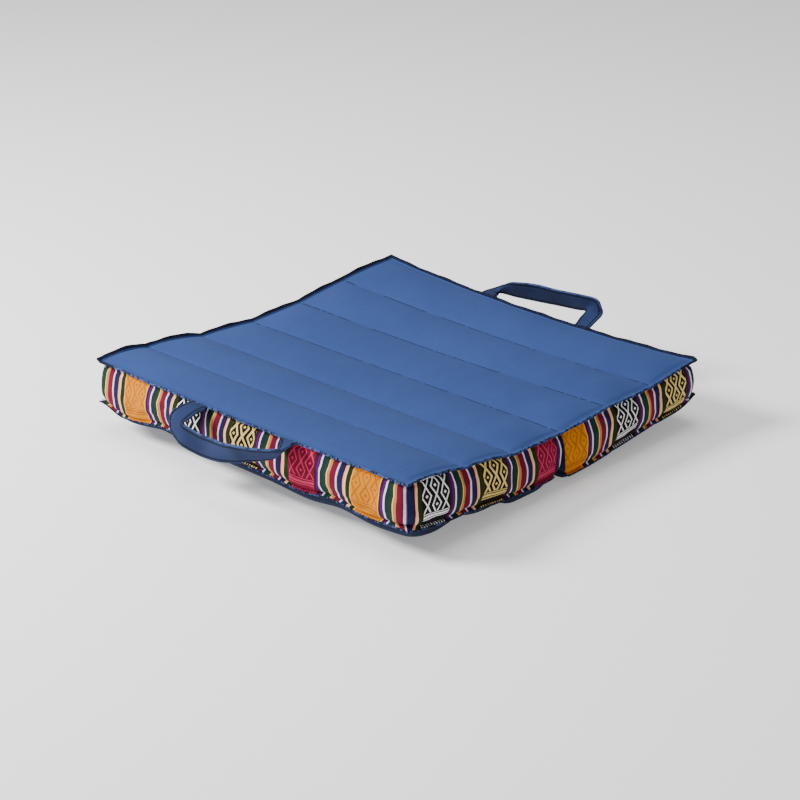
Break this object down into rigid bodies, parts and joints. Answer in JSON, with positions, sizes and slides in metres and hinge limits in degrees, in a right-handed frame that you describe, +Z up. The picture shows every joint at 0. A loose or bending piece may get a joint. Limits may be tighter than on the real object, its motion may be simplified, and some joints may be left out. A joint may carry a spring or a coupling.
{
  "type": "folding meditation cushion",
  "caption": "Square filled floor cushion in two hinged halves with sewn channels, patterned woven side walls and a carrying strap on each outer edge.",
  "frame": {"origin": "on the surface that the cushion rests on, under the middle of its bounding box", "axes": "+Z up; X along the fold line, +Y from the near half to the far half, so both straps lie along Y"},
  "size_m": [0.454, 0.5176, 0.0975],
  "materials": {
    "quilted_cotton": "plain-weave blue cotton, matt, sewn in channels",
    "woven_band": "striped and lozenge-patterned hand-woven cotton, matt",
    "strap_cotton": "folded blue cotton with stitched edges, matt"
  },
  "bodies": {
    "root": {"quilted_top_panel": "quilted_cotton", "filled_half_near": "woven_band", "filled_half_far": "woven_band", "base_panel_near": "quilted_cotton", "base_panel_far": "quilted_cotton", "carry_strap_near": "strap_cotton", "carry_strap_far": "strap_cotton"}
  },
  "joints": []
}
